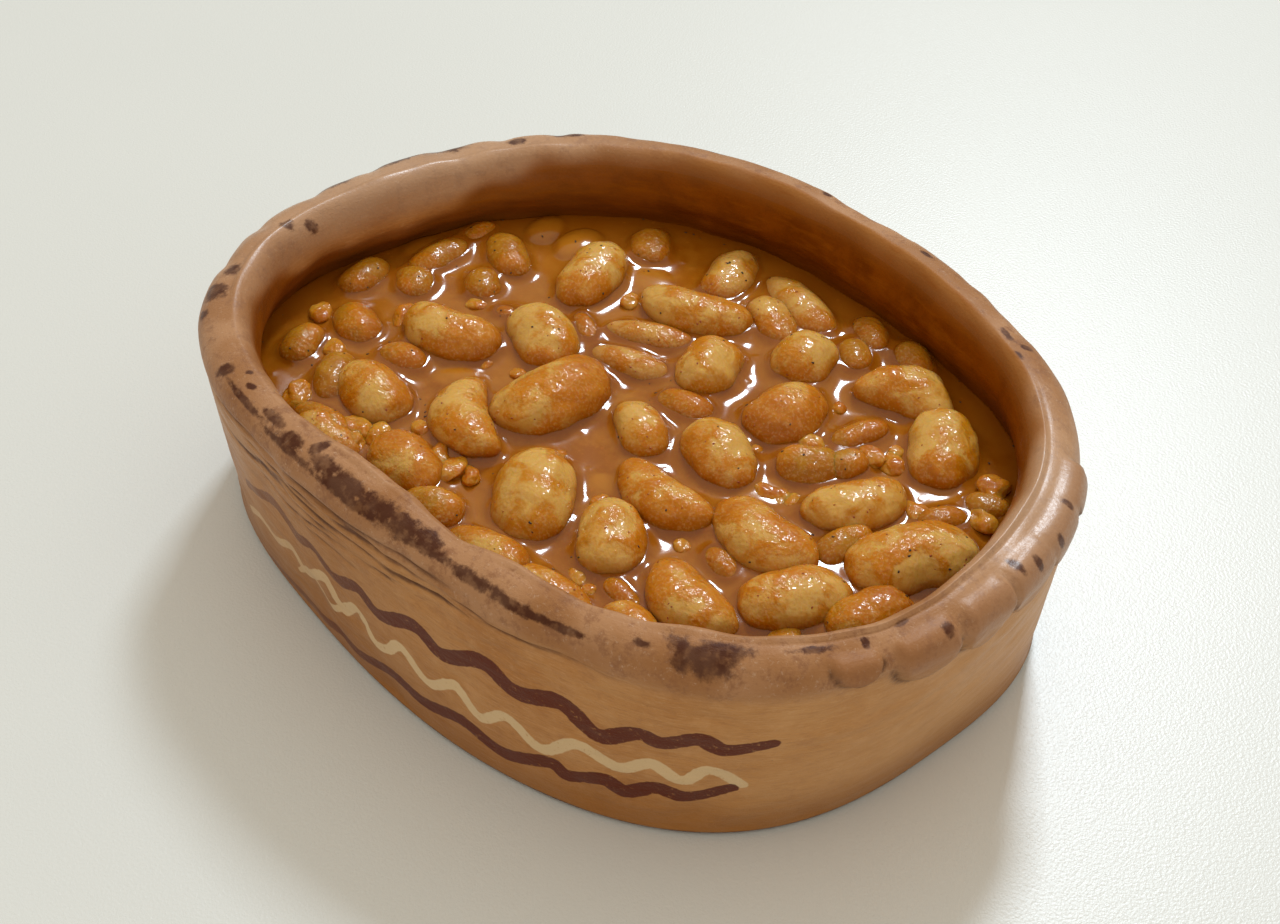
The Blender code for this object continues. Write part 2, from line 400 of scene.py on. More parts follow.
def sauce_material():
    """Thick, oily tomato gravy: dark where deep, golden where it runs thin over a bean."""
    n = surface("bean_sauce")
    cloudy = n.noise(7, detail=4, rough=0.6, warp=0.4)
    grains = n.noise(0.7, detail=3, rough=0.65)
    deep = n.mix(n.ramp(cloudy, 0.35, 0.68), (0.33, 0.095, 0.002), (0.43, 0.150, 0.010))
    n.colour = n.mix(n.ramp(grains, 0.55, 0.75, 0, 0.4), deep, (0.48, 0.18, 0.012))
    n.tint(n.ramp(n.noise(26, detail=2), 0.4, 0.6, 0, 0.5), (0.46, 0.170, 0.016))
    thin = n.add(n.value("thin"), n.swing(cloudy, 0.5))
    n.tint(n.ramp(thin, 0.15, 0.95), (0.50, 0.19, 0.012))
    n.tint(n.value("shade"), (0.25, 0.062, 0.001))
    oil = n.ramp(n.cells(3.4), 0.05, 0.16, 1.0, 0.0)
    n.tint(n.times(oil, 0.35), (0.50, 0.15, 0.012))
    speck = n.ramp(n.noise(0.8, detail=4, rough=0.8), 0.71, 0.77)
    n.tint(n.times(speck, 0.6), (0.11, 0.025, 0.005))
    normal = n.bump(n.noise(2.4, detail=2), 0.05, 0.3)
    normal = n.bump(grains, 0.05, 0.08, normal)
    n.set(Base_Color=n.colour, Normal=normal)
    n.set(Roughness=0.13, Specular_IOR_Level=0.8)
    n.set(Subsurface_Weight=0.25, Subsurface_Radius=(1.0, 0.4, 0.12), Subsurface_Scale=2.5 * MM)
    return n.owner


def plain_material(name, first, second, size, roughness):
    """Two tones in patches of a size, for the small things."""
    n = surface(name)
    n.set(Base_Color=n.mix(n.ramp(n.noise(size, detail=3), 0.35, 0.65), first, second))
    n.set(Normal=n.bump(n.noise(size / 3, detail=2), 0.4, size / 12))
    n.set(Roughness=roughness)
    return n.owner


def floor_material():
    """Off-white table with the faint pebbling of a laminate."""
    n = surface("pale_table")
    colour = n.mix(n.noise(90, detail=2), (0.725, 0.735, 0.71), (0.745, 0.755, 0.73))
    pebbles = n.noise(0.65, detail=2, rough=0.6)
    n.set(Base_Color=colour, Normal=n.bump(pebbles, 0.6, 0.14), Roughness=0.36, Specular_IOR_Level=0.8)
    return n.owner


# ---------------- the pot


def waves(angle, hand_marks):
    """How a hand-pressed oval swells and dips round its outline, 1 on average."""
    swell = np.ones_like(angle)
    for count, height, crest in hand_marks:
        swell = swell + height * np.cos(count * (angle - math.radians(crest)))
    return swell


def oval(angle, half_length, half_width, hand_marks):
    """How far the outline lies from the middle in a direction."""
    along = np.abs(np.cos(angle) / half_length) ** SQUARENESS
    across = np.abs(np.sin(angle) / half_width) ** SQUARENESS
    return (along + across) ** (-1 / SQUARENESS) * waves(angle, hand_marks)


def outside(angle, z):
    """x and y of the pot's outer face in a direction, at a height."""
    share = np.minimum(z / (HEIGHT + 0.3 - LIP / 2), 1.0)
    base = oval(angle, BASE_HALF_LENGTH, BASE_HALF_WIDTH, BASE_WAVES)
    lip = oval(angle, HALF_LENGTH, HALF_WIDTH, LIP_WAVES)
    reach = base + (lip - base) * share
    x = reach * np.cos(angle) + BASE_SHIFT[0] * (1 - share)
    y = reach * np.sin(angle) + BASE_SHIFT[1] * (1 - share)
    return x, y


def inner_inset(z):
    """How far the inner face lies in from the outer face, as a bean meets it."""
    return WALL + (LIP - WALL) * smooth((z - SAUCE_LEVEL) / (LIP_MIDDLE - SAUCE_LEVEL))


def thicker(angle):
    """How much thicker the wall is than elsewhere, round the left end, by direction."""
    return THICK_MORE * near_to(np.degrees(angle), THICK_AT, THICK_SPREAD)


def lip_section():
    """Inset and height over the lip: a broad outer shoulder, then a long soft curve to the inner face."""
    section = []
    for turn in np.linspace(0, math.pi / 2, 17):
        section.append((LIP_CREST * (1 - math.cos(turn)), LIP_MIDDLE + LIP_RISE * math.sin(turn)))
    drop = LIP_MIDDLE + LIP_RISE - INNER_SHOULDER
    for turn in np.linspace(0, math.pi / 2, 15)[1:]:
        inset = LIP_CREST + (LIP - LIP_CREST) * math.sin(turn)
        section.append((inset, INNER_SHOULDER + drop * math.cos(turn)))
    return section


def pot_profile():
    """Inset from the outer face and height: up the outside, over the lip and down the inside."""
    foot = [(70, 0.9), (40, 0.8), (16, 0.5), (9, 0.2), (5, 0.0), (3, 0.0)]
    for step in range(5):
        turn = math.pi / 2 * step / 4
        foot.append((FOOT_ROUND * (1 - math.sin(turn)), FOOT_ROUND * (1 - math.cos(turn))))
    wall = [(0, z) for z in np.arange(2.2, LIP_MIDDLE - 0.3, 0.75)]
    lip = lip_section()
    inner = []
    for z in np.arange(INNER_SHOULDER - 0.8, SAUCE_LEVEL - 1.5, -0.8):
        share = (z - SAUCE_LEVEL + 1) / (INNER_SHOULDER - SAUCE_LEVEL + 1)
        inner.append((WALL + (LIP - WALL) * smooth(share), z))
    below = [(WALL, 30), (WALL, 22), (WALL + 2, 15), (WALL + 6, 11), (WALL + 16, FLOOR)]
    return np.array(foot + wall + lip + inner + below)


# Pads of clay thumbed on over the right end, each over the one before: direction, middle height, radius
Pad = namedtuple("Pad", "angle z radius")
PADS = rows(
    Pad,
    (-22, 52.0, 4.6), (18, 52.5, 6.5), (11, 50.0, 7.0), (3.5, 47.0, 7.0), (-4.5, 47.0, 6.6),
    (-13.5, 48.6, 6.6),
)
PAD_OUT = 1.8
# Dips between the lobes that the same thumbs left round the other end, in degrees
NOTCHES = (146, 155, 165, 176, 186, 196, 205)
NOTCH_DEPTH = 0.5
NOTCH_SPREAD = 1.7

# Smears of dark slip and soot on the lip: direction, turn over the lip (0 outer, 90 top, 180 inner, all in
# degrees), half length along the lip and half width across it
Stain = namedtuple("Stain", "angle turn along across")
STAINS = rows(
    Stain,
    (-165, 115, 2, 2), (-168, 140, 2, 1.5), (-153, 88, 2.5, 2.5), (-148, 66, 3, 4), (-144, 45, 1.5, 2),
    (-131, 60, 2, 3), (-129, 98, 1, 1.2), (-126, 84, 1.5, 1), (-118, 76, 5, 1.6), (-112, 68, 5, 2.0),
    (-108, 90, 1.8, 3.5), (-104, 72, 6, 2.4), (-98, 68, 7, 2.8), (-91, 63, 7, 3.2), (-85, 64, 6, 3.4),
    (-80, 72, 5, 2.8), (-78, 58, 5, 1.6), (-70, 56, 9, 1.8), (-62, 50, 10, 1.4), (-56, 50, 7, 1.2),
    (-97, 46, 14, 1.3), (-84, 52, 12, 1.2), (-112, 50, 12, 1.2), (-124, 56, 9, 1.0), (-45, 70, 2, 1),
    (-40, 72, 4, 4), (-38, 60, 6, 3.6), (-36, 84, 6, 2.2), (-26, 88, 4, 1.2), (-20, 84, 1, 2),
    (-11, 45, 1.2, 2), (1.5, 58, 1.2, 2.5), (4, 36, 1, 2), (-15, 100, 2, 1), (41, 108, 2, 1.5),
    (46, 95, 3, 1), (43, 75, 1.5, 1.5), (9, 30, 1, 2), (14, 50, 1, 1.5), (70, 80, 3, 1), (95, 70, 2, 1.5),
    (120, 60, 4, 1), (145, 66, 5, 2.4), (153, 88, 3, 1.5), (164, 60, 7, 3.0), (172, 52, 8, 3.4),
    (-178, 58, 6, 2.6), (-171, 46, 6, 1.8),
)

# Painted lines: direction in degrees and height of each turn of the brush, and the half width there
Stroke = namedtuple("Stroke", "angle z half")
UPPER_DARK = rows(
    Stroke,
    (-130, 24, 1.05), (-125, 27, 1.15), (-120, 29.5, 1.25), (-114, 27, 1.35), (-108, 29, 1.35),
    (-103, 25.5, 1.55), (-96, 29, 1.55), (-91, 26, 1.65), (-82, 31, 1.95), (-76, 28, 1.95),
    (-68, 33, 2.15), (-62, 30, 2.15), (-55, 32.5, 2.15), (-50, 27, 2.15), (-45, 31.5, 2.05),
    (-42, 30, 2.05), (-38, 33.5, 2.25), (-35, 31, 2.05), (-30, 33.5, 1.45),
)
LOWER_DARK = rows(
    Stroke,
    (-134, 0.5, 0.9), (-128, 2.5, 1.0), (-120, 4, 1.0), (-112, 4.2, 1.1), (-106, 6, 1.1), (-100, 5.5, 1.2),
    (-90, 9, 1.6), (-82, 8, 1.7), (-73, 11, 1.7), (-65, 8.5, 1.8), (-57, 12.5, 1.8), (-54, 10.5, 1.8),
    (-49, 13.5, 1.9), (-46, 11, 1.9), (-42, 14.5, 1.9), (-38, 13, 1.9), (-33, 17, 1.4),
)
CREAM = rows(
    Stroke,
    (-133, 13, 0.9), (-128, 17, 1.0), (-123, 16, 1.0), (-118, 19, 1.1), (-114, 16, 1.1), (-107, 21.5, 1.4),
    (-103, 16, 1.3), (-98, 21, 1.3), (-94, 15.5, 1.2), (-90, 16.5, 1.2), (-86, 21, 1.3), (-80, 16, 1.2),
    (-74, 20.5, 1.3), (-69, 15.8, 1.3), (-64, 20.5, 1.3), (-58, 15.8, 1.4), (-53, 22, 1.5),
    (-47, 18.5, 1.5), (-43, 22.3, 1.5), (-39, 18.5, 1.4), (-36, 23.5, 1.4), (-32, 18.5, 1.3),
)
CREAM_AGAIN = rows(
    Stroke,
    (-117, 13.5, 0.6), (-112, 18, 0.8), (-107, 13, 0.9), (-101, 19, 0.7),
)
# Depth inside a painted line that stands for nowhere near it
FAR_OUT = -4.0


def along_wall(angle):
    """Distance round the wall to a direction in degrees, starting at the left end, in millimetres."""
    steps = np.radians(np.arange(-180, 181, 1.0))
    x, y = outside(steps, 20)
    length = np.concatenate(([0], np.cumsum(np.hypot(np.diff(x), np.diff(y)))))
    return np.interp(angle, np.degrees(steps), length)


def curve_through(strokes, per_turn=10):
    """Points of the smooth curve through the strokes: distance round, height and half width."""
    knots = np.array([(along_wall(s.angle), s.z, s.half) for s in strokes])
    knots = np.vstack((2 * knots[0] - knots[1], knots, 2 * knots[-1] - knots[-2]))
    points = []
    for i in range(1, len(knots) - 2):
        before, start, end, after = knots[i - 1 : i + 3]
        for t in np.arange(per_turn) / per_turn:
            bend = (2 * before - 5 * start + 4 * end - after) * t * t
            twist = (3 * start - before - 3 * end + after) * t * t * t
            points.append(0.5 * (2 * start + (end - before) * t + bend + twist))
    points.append(knots[-2])
    return np.array(points)


def inside_line(around, height, strokes):
    """How far a point of the wall lies inside a painted line, in millimetres, negative outside."""
    line = curve_through(strokes)
    best = np.full(around.shape, FAR_OUT)
    near = (around > line[0, 0] - 5) & (around < line[-1, 0] + 5)
    s, h = around[near], height[near]
    found = np.full(s.shape, FAR_OUT)
    for start, end in zip(line[:-1], line[1:]):
        run = end[:2] - start[:2]
        share = ((s - start[0]) * run[0] + (h - start[1]) * run[1]) / (run @ run)
        share = np.clip(share, 0, 1)
        off = np.hypot(s - start[0] - share * run[0], h - start[1] - share * run[1])
        found = np.maximum(found, start[2] + (end[2] - start[2]) * share - off)
    best[near] = found
    return best


def pad_relief(angle, z):
    """How far the pads stand out of the wall, and a dark crack line with painted shade under their lower
    edges.
    """
    relief = np.zeros_like(z)
    pad_crack_and_shade = np.zeros_like(z)
    degrees = np.degrees(angle)
    for pad in PADS:
        across = np.radians(apart(degrees, pad.angle)) * END_REACH / pad.radius
        down = (pad.z - z) / pad.radius
        far = np.hypot(across, np.where(down > 0, down, down * 0.4))
        body = smooth((1.0 - far) / 0.22)
        relief = np.maximum(relief * (1 - 0.25 * body), body * (1 - 0.12 * far * far))
        # A dark crack with painted shade, only on the pad's lower side
        edge = bell(far - 1.02, 0.09) * smooth((down + 0.15) / 0.4)
        pad_crack_and_shade = np.maximum(pad_crack_and_shade * smooth((far - 0.93) / 0.07), edge)
    return relief * PAD_OUT, pad_crack_and_shade


# Scratches and folds that run round under the lip: first and last direction, height at each, depth and
# half width
Groove = namedtuple("Groove", "first last z_first z_last depth half")
GROOVES = rows(
    Groove,
    (-155, -66, 45.5, 48.8, 1.3, 0.8), (-146, -82, 42.8, 45.6, 1.0, 0.6),
    (-134, -62, 40.2, 44.4, 1.0, 0.6), (-140, -95, 37.6, 41.0, 0.8, 0.5),
    (-128, -80, 35.2, 40.2, 0.7, 0.5), (-118, -92, 33.0, 35.5, 0.5, 0.45),
    (-100, -38, 45.0, 47.0, 0.55, 0.6), (-70, -30, 40.0, 41.0, 0.2, 0.7),
    (-125, -95, 9.0, 11.0, 0.25, 0.5), (25, 70, 44, 41.0, 0.4, 0.6), (60, 130, 45, 43.0, 0.45, 0.6),
    (85, 150, 40, 38.0, 0.35, 0.6), (-40, 20, 30, 33.0, 0.15, 0.8),
)


def groove_marks(angle, z):
    """Depth of the grooves, and how dark each is."""
    depth = np.zeros_like(z)
    dark = np.zeros_like(z)
    degrees = np.degrees(angle)
    for i, groove in enumerate(GROOVES):
        share = (degrees - groove.first) / (groove.last - groove.first)
        wander = 0.5 * np.sin(degrees / 7.0 + 2.1 * i) + 0.3 * np.sin(degrees / 2.9 + 1.3 * i)
        line = groove.z_first + (groove.z_last - groove.z_first) * share + wander
        strength = smooth(share / 0.2) * smooth((1 - share) / 0.2)
        strength = strength * (0.75 + 0.25 * np.sin(degrees / 4.3 + 3.7 * i))
        cut = strength * bell(z - line, groove.half)
        depth += groove.depth * cut
        dark = np.maximum(dark, cut * min(1.0, groove.depth / 0.8))
    return depth, dark


def stain_depth(degrees, turn):
    """1 in the middle of a stain on the lip, 0 at its edge, -1 anywhere far from all of them."""
    depth = np.full_like(turn, -1.0)
    for spot in STAINS:
        along = np.radians(apart(degrees, spot.angle)) * LIP_REACH / spot.along
        across = np.radians(turn - spot.turn) * LIP / 2 / spot.across
        depth = np.maximum(depth, 1 - np.hypot(along, across))
    return depth


def pot_faces(rings, columns):
    """The wall's quads, then the fans to the two points in the middle of the underside and the floor."""
    here = np.arange(columns)
    there = (here + 1) % columns
    last = (rings - 1) * columns
    under = np.stack((there, here, np.full(columns, rings * columns)), -1)
    floor = np.stack((last + here, last + there, np.full(columns, rings * columns + 1)), -1)
    return ring_faces(rings, columns), under, floor


def make_pot():
    """The pot as one closed piece, with its hand marks as shape and its paint, stains and painted light and
    shade as values.
    """
    profile = pot_profile()
    rings, columns = len(profile), POT_COLUMNS
    inset = np.repeat(profile[:, 0], columns)
    z = np.repeat(profile[:, 1], columns)
    theta = np.tile(np.linspace(-math.pi, math.pi, columns, endpoint=False), rings)
    degrees = np.degrees(theta)
    path = np.concatenate(([0], np.cumsum(np.hypot(*np.diff(profile, axis=0).T))))
    path = np.repeat(path, columns)
    # Which way the surface faces: how much outwards and how much upwards
    run_in = np.gradient(profile[:, 0])
    run_up = np.gradient(profile[:, 1])
    size = np.hypot(run_in, run_up)
    out_share = np.repeat(run_up / size, columns)
    up_share = np.repeat(run_in / size, columns)

    x, y = outside(theta, z)
    deeper = inset + thicker(theta) * smooth((inset - LIP_CREST + 4) / 7)
    x -= deeper * np.cos(theta)
    y -= deeper * np.sin(theta)
    points = np.stack((x, y, z), -1)

    # Turn over the lip: 0 on the outside, 180 degrees on the inside
    turn = np.degrees(np.arccos(np.clip(1 - 2 * inset / LIP, -1, 1)))
    on_lip = (z > LIP_MIDDLE) & (inset <= LIP)
    outer = (inset < LIP_CREST) & (z > 2)

    # Hand-made unevenness, turning marks and flaps
    streak = np.stack((np.cos(theta) * STREAK_RADIUS, np.sin(theta) * STREAK_RADIUS, path), -1)
    relief = 0.32 * ripples(points, 34, 1) + 0.13 * ripples(points, 12, 2)
    tooled = 0.07 * ripples(streak, 4.5, 3) + 0.035 * ripples(streak, 1.9, 4)
    relief += tooled * np.where(on_lip, 0.25, 1.0)
    relief *= np.clip(z / 5, 0.1, 1) * (z > 1.6)
    # The undulation goes inwards more than outwards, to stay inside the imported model's outline
    relief = np.where(outer, np.minimum(relief, 0.25 * relief) - 0.12, relief)
    pads, pad_crack_and_shade = pad_relief(theta, z)
    pads = np.where(outer, pads * smooth((5.0 - inset) / 4), 0)
    end_share = smooth((np.abs(np.cos(theta)) - 0.80) / 0.12)
    relief += np.where(outer, pads - 0.7 * end_share * smooth((z - 34) / 6), 0)
    for notch in NOTCHES:
        dip = NOTCH_DEPTH * near_to(degrees, notch, NOTCH_SPREAD)
        relief -= dip * smooth((z - 38) / 8) * smooth((9 - inset) / 6)
    grooves, groove_dark = groove_marks(theta, z)
    relief -= grooves * (inset < 4) * smooth((53.5 - z) / 3)
    x = points[:, 0] + relief * out_share * np.cos(theta)
    y = points[:, 1] + relief * out_share * np.sin(theta)
    top = points[:, 2] + relief * up_share
    sag = 0.35 * np.cos(3 * theta + 1) + 0.25 * np.cos(5 * theta + 2.2) - 0.3
    top += sag * smooth((z - 38) / 12)
    points = np.stack((x, y, np.minimum(top, HEIGHT - 0.02)), -1)
    # The foot stays flat
    points[z <= FOOT_ROUND, 2] = z[z <= FOOT_ROUND]

    # Where paint, stains, sauce and painted light and shade lie
    around = along_wall(degrees)
    on_wall = np.where(outer & ~on_lip, z, -50.0)
    dark = np.maximum(inside_line(around, on_wall, UPPER_DARK), inside_line(around, on_wall, LOWER_DARK))
    cream = np.maximum(inside_line(around, on_wall, CREAM), inside_line(around, on_wall, CREAM_AGAIN))
    # The height to which oil has soaked in: lower round the left end, higher along the back
    tide = 50.5 - 8.0 * smooth((np.abs(degrees) - 148) / 25) + 0.6 * ripples(points, 15, 6)
    tide += 5.5 * near_to(degrees, 80, 55)
    # Darker in the grooves and in a band along the foot
    groove_and_foot_darkening = np.maximum(groove_dark * outer, 0.9 * bell(z - 0.6, 0.8) * (inset < 2))
    near_rim = smooth((z - 44) / 6)
    inner = inset > LIP_CREST
    values = {
        "dark_slip": dark,
        "cream_slip": cream,
        "slip_fade": 0.62 + 0.38 * smooth((degrees + 128) / 45),
        "stain": np.where(on_lip, stain_depth(degrees, turn), -1.0),
        "groove_and_foot_darkening": groove_and_foot_darkening,
        # A dark crack with painted shade under the pads' lower edges
        "pad_crack_and_shade": pad_crack_and_shade * outer,
        "pad": np.clip(pads / PAD_OUT, 0, 1),
        # Polished ends of the lip, also painted paler there as a highlight
        "polish_and_painted_highlight": np.maximum(near_to(degrees, 13, 16), near_to(degrees, 175, 34)) * near_rim,
        "lip": near_rim * (inset <= LIP),
        # Painted shade, darker towards the foot
        "foot": 0.7 * smooth((18 - z) / 16) * (inset < LIP_CREST),
        # Painted light on the right-hand side and painted shade on the left-front side of the outer wall
        "painted_side_light": 0.4 * smooth((degrees + 60) / 60) * smooth((175 - degrees) / 60),
        "painted_side_shade": 0.3 * smooth((-55 - degrees) / 50) * smooth((degrees + 175) / 30) * outer,
        "inside": smooth((tide + 3 - z) / 5) * inner,
        # Painted shade down the inner wall over the soaked clay, less near the top and round the left end
        "soak_and_painted_shade": smooth((HEIGHT + 0.5 - z) / 7.5) * (1 - 0.4 * near_to(degrees, 172, 38)),
        "wet": smooth((SAUCE_LEVEL + 6 - z) / 7) * inner,
    }
    # The last two points are the middles of the underside and of the floor inside
    points = np.vstack((points, ((*BASE_SHIFT, 1.0), (0, 0, FLOOR))))
    streak = np.vstack((streak, np.zeros((2, 3))))
    values = {key: np.concatenate((value, (0, 0))) for key, value in values.items()}
    faces = pot_faces(rings, columns)
    burnished = clay_material("burnished_clay", 0.2)
    pot = make_mesh("clay_pot_surface", points, faces, burnished, values, {"streak": streak})
    # Below the lip's inner curve the soaked clay is duller
    pot.data.materials.append(clay_material("soaked_clay", 0.02))
    soaked = (profile[:-1, 0] > LIP_CREST) & (profile[:-1, 1] < SOAKED_BELOW)
    finish = np.concatenate((np.repeat(soaked, columns), np.zeros(columns), np.ones(columns)))
    pot.data.polygons.foreach_set("material_index", finish.astype(np.int32))
    place(pot, "clay_pot")


# ---------------- the beans

# Middle, length, width, turn in degrees anticlockwise, how far the top stands above the sauce, bend,
# how much sauce clings to it, and the direction in degrees on which side it clings
Bean = namedtuple("Bean", "x y length width turn rise bend coat side", defaults=(0, 0.5, 0))
BEANS = rows(
    Bean,
    (-14, -10, 28, 18, 80, 10, 1, 0.7, 60), (-45, -10, 24, 14, 15, 8, 1, 0.6, 10),
    (-30, 3, 22, 14, -25, 8, 0, 0.25, -60), (-38, 26, 23, 14, 110, 8, 0, 0.35, -60),
    (-12, 32, 26, 13, 22, 8, 1, 0.6, 100), (3, 20, 18, 14, 110, 8, 0, 0.45, 150),
    (16, 36, 16, 14, 100, 8, 0, 0.25, -80), (24, 20, 20, 16, 100, 8, 0, 0.9, -60),
    (39, 41, 22, 14, 15, 8, -2, 0.55, 190), (54, 33, 23, 15, -55, 8, 0, 0.3, -60),
    (52, 8, 22, 13, 62, 8, 1, 0.45, 150), (69, 4, 27, 17, 60, 9, 0, 0.55, 150),
    (23, 1, 20, 14, -20, 8, 0, 0.45, -80), (6, -4, 17, 11, -30, 6, 0, 0.45, 60),
    (23, -16, 24, 12, -3, 7, 1, 0.75, 90), (45, -11, 24, 14, -5, 8, 1, 0.7, 100),
    (5, -33, 24, 17, -50, 9, 0, 0.3, 60), (24, -31, 19, 14, -50, 8, 0, 0.45, 60),
    (46, -33, 22, 13, -10, 8, 1, 0.7, 100), (59, -19, 22, 15, 60, 8, 0, 0.55, 150),
    (-22, -26, 26, 13, -35, 8, 2, 0.5, 30), (-42, -34, 21, 14, -15, 8, 0, 0.65, 90),
    (-20, -44, 19, 13, -10, 7, 0, 0.75, 90), (-16, 48, 20, 13, 114, 5, 0, 0.2, -60),
    (3, 50, 24, 11, -18, 5, 0, 0.3, -90), (2, 42, 17, 10, -28, 5, 0, 0.4, -90),
    (-14, 20, 20, 9, 28, 4, 0, 0.6, 90), (-11, 10, 20, 9, 15, 4, 0, 0.5, 90),
    (9, -50, 20, 11, 5, 6, 0, 0.7, 90), (-38, -50, 18, 11, 0, 6, 0, 0.6, 90),
    (26, -50, 20, 12, 8, 6, 0, 0.6, 90), (45, -46, 18, 12, -15, 6, 0, 0.5, 90),
)
SMALL_BEANS = rows(
    Bean,
    (-58, 19, 18, 10, -28, 5, 0, 0.15, -60), (-69, 8, 18, 10, 90, 4, 0, 0.15, -60),
    (-66, -2, 13, 11, -40, 4, 0, 0.25, -60), (-54, 8, 12, 9, -40, 4, 0, 0.15, -60),
    (-63, -21, 14, 11, -20, 5, 0, 0.75, 60), (-52, -36, 16, 9, -52, 5, 0, 0.2, 60),
    (38, 11, 14, 11, 40, 6, 0, 0.45, 160), (57, -2, 14, 8, 80, 5, 0, 0.5, 90),
    (72, -13, 17, 11, 70, 7, 0, 0.9, 90), (7, 8, 14, 9, 10, 4, 0, 0.75, 90),
    (33, 52, 14, 9, -35, 4, 0, 0.45, 0), (-37, 44, 14, 11, -50, 4, 0, 0.2, -60),
    (-75, -9, 14, 9, 95, 5, 0, 0.15, 0), (-47, -22, 13, 9, 10, 4, 0, 0.8, 60),
    (-7, -49, 14, 10, 20, 6, 0, 0.6, 60), (-66, -34, 13, 9, -60, 5, 0, 0.4, 60),
    (-26, 12, 13, 6, -28, 2.5, 0, 0.6, 0), (43, 16, 10, 8, 80, 5, 0, 0.45, 60),
    (39, 25, 13, 7, 70, 4, 0, 0.7, 60), (43, -21, 11, 7, -20, 3, 0, 0.5, 90),
    (22, 45, 11, 8, -45, 4, 0, 0.35, 0), (20, 53, 12, 8, -30, 4, 0, 0.4, 0),
    (66, 17, 11, 7, 60, 4, 0, 0.5, 90), (70, 26, 9, 7, 30, 4, 0, 0.6, 90),
    (36, -40, 11, 6, -10, 3, 0, 0.6, 90), (-43, 4, 7, 6, 20, 2, 0, 0.8, 90),
    (-69, 20, 11, 8, 90, 3, 0, 0.5, 0), (-43, -47, 16, 8, 0, 5, 0, 0.5, 90),
)
# Beans just under the sauce: they lift it, and show through it
SUNK_BEANS = rows(
    Bean,
    (-60, 33, 13, 10, 100, 1.6), (-50, 34, 15, 12, 100, 2.0), (-76, 8, 12, 8, 100, 1.0),
    (-30, 35, 14, 10, 20, 0.7), (-2, 0, 14, 10, 60, 0.5), (12, -20, 12, 9, 20, 0.5),
    (35, 0, 13, 9, 60, 0.6), (60, 22, 12, 8, 20, 0.7), (-35, -18, 12, 8, 60, 0.7),
    (34, -48, 12, 8, 10, 0.6),
)
# Thickness as a share of the width, how much plumper the ends are, and the sideways reach of a bend of 1
FLATNESS = 0.8
END_PLUMPNESS = 0.12
BEND_STEP = 2.0
# How high the sauce climbs against a bean
CLIMB = 1.2
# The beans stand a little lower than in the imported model, where they also had to meet the sauce squarely
SUNK = 0.85


def ball(fineness):
    """Points and triangles of an even unit ball."""
    bm = bmesh.new()
    bmesh.ops.create_icosphere(bm, subdivisions=fineness, radius=1)
    points = np.array([vert.co[:] for vert in bm.verts])
    faces = np.array([[vert.index for vert in face.verts] for face in bm.faces])
    bm.free()
    return points, faces


def together(shapes, faces):
    """The points of many shapes with the same faces, and the faces of them all."""
    return np.concatenate(shapes), [faces + i * len(shape) for i, shape in enumerate(shapes)]


def turned(points, degrees):
    """Points turned anticlockwise about the upright axis."""
    c, s = math.cos(math.radians(degrees)), math.sin(math.radians(degrees))
    x, y = points[:, 0] * c - points[:, 1] * s, points[:, 0] * s + points[:, 1] * c
    return np.stack((x, y, points[:, 2]), -1)


def bean_points(bean, unit, seed):
    """A plump bean on its side, with its dent, its bend and the small lumps of a cooked skin."""
    rng = np.random.default_rng(SEED + seed)
    thick = bean.width * FLATNESS
    ux, uy, uz = unit.T
    plump = 1 + END_PLUMPNESS * ux * ux
    taper = 1 + 0.08 * rng.uniform(-1, 1) * ux
    x = ux * bean.length / 2
    y = uy * plump * taper * bean.width / 2 + bean.bend * BEND_STEP * (ux * ux - 0.4)
    z = uz * plump * taper * thick / 2
    points = np.stack((x, y, z), -1)
    lumps = 0.011 * bean.width * ripples(points, 12, seed)
    lumps += 0.006 * bean.width * ripples(points, 5, seed + 500)
    # A shallow hollow where the bean was joined to its pod
    side = math.copysign(1, bean.bend) if bean.bend else rng.choice((-1, 1))
    hollow = bell(ux, 0.32) * bell(uy * side - 1, 0.5)
    push = 1 + (lumps - 0.04 * bean.width * hollow) / (0.5 * bean.width)
    points = points * push[:, None]
    points = turned(points, bean.turn)
    tilt = rng.normal(0, 0.05, 2)
    points[:, 2] += points[:, 0] * tilt[0] + points[:, 1] * tilt[1]
    points[:, 2] += SAUCE_LEVEL + bean.rise * SUNK - points[:, 2].max()
    points[:, 0] += bean.x
    points[:, 1] += bean.y
    return points


def keep_in_pot(points):
    """Pushes points that would stand in the clay back to the inner face."""
    angle = np.arctan2(points[:, 1], points[:, 0])
    wall_x, wall_y = outside(angle, points[:, 2])
    room = np.hypot(wall_x, wall_y) - inner_inset(points[:, 2]) - thicker(angle) - 0.2
    far = np.hypot(points[:, 0], points[:, 1])
    share = np.minimum(1, room / np.maximum(far, 1e-6))
    points[:, :2] *= share[:, None]
    return points


def waterline(points, faces):
    """Where a bean's surface crosses the height the sauce climbs to, as points in order round its middle."""
    level = SAUCE_LEVEL + min(CLIMB, 0.4 * (points[:, 2].max() - SAUCE_LEVEL))
    ends = np.concatenate((faces[:, [0, 1]], faces[:, [1, 2]], faces[:, [2, 0]]))
    low, high = points[ends[:, 0]], points[ends[:, 1]]
    crossing = (low[:, 2] - level) * (high[:, 2] - level) < 0
    low, high = low[crossing], high[crossing]
    share = (level - low[:, 2]) / (high[:, 2] - low[:, 2])
    cut = low[:, :2] + (high[:, :2] - low[:, :2]) * share[:, None]
    middle = cut.mean(axis=0)
    order = np.argsort(np.arctan2(cut[:, 1] - middle[1], cut[:, 0] - middle[0]))
    return cut[order], middle, level - SAUCE_LEVEL


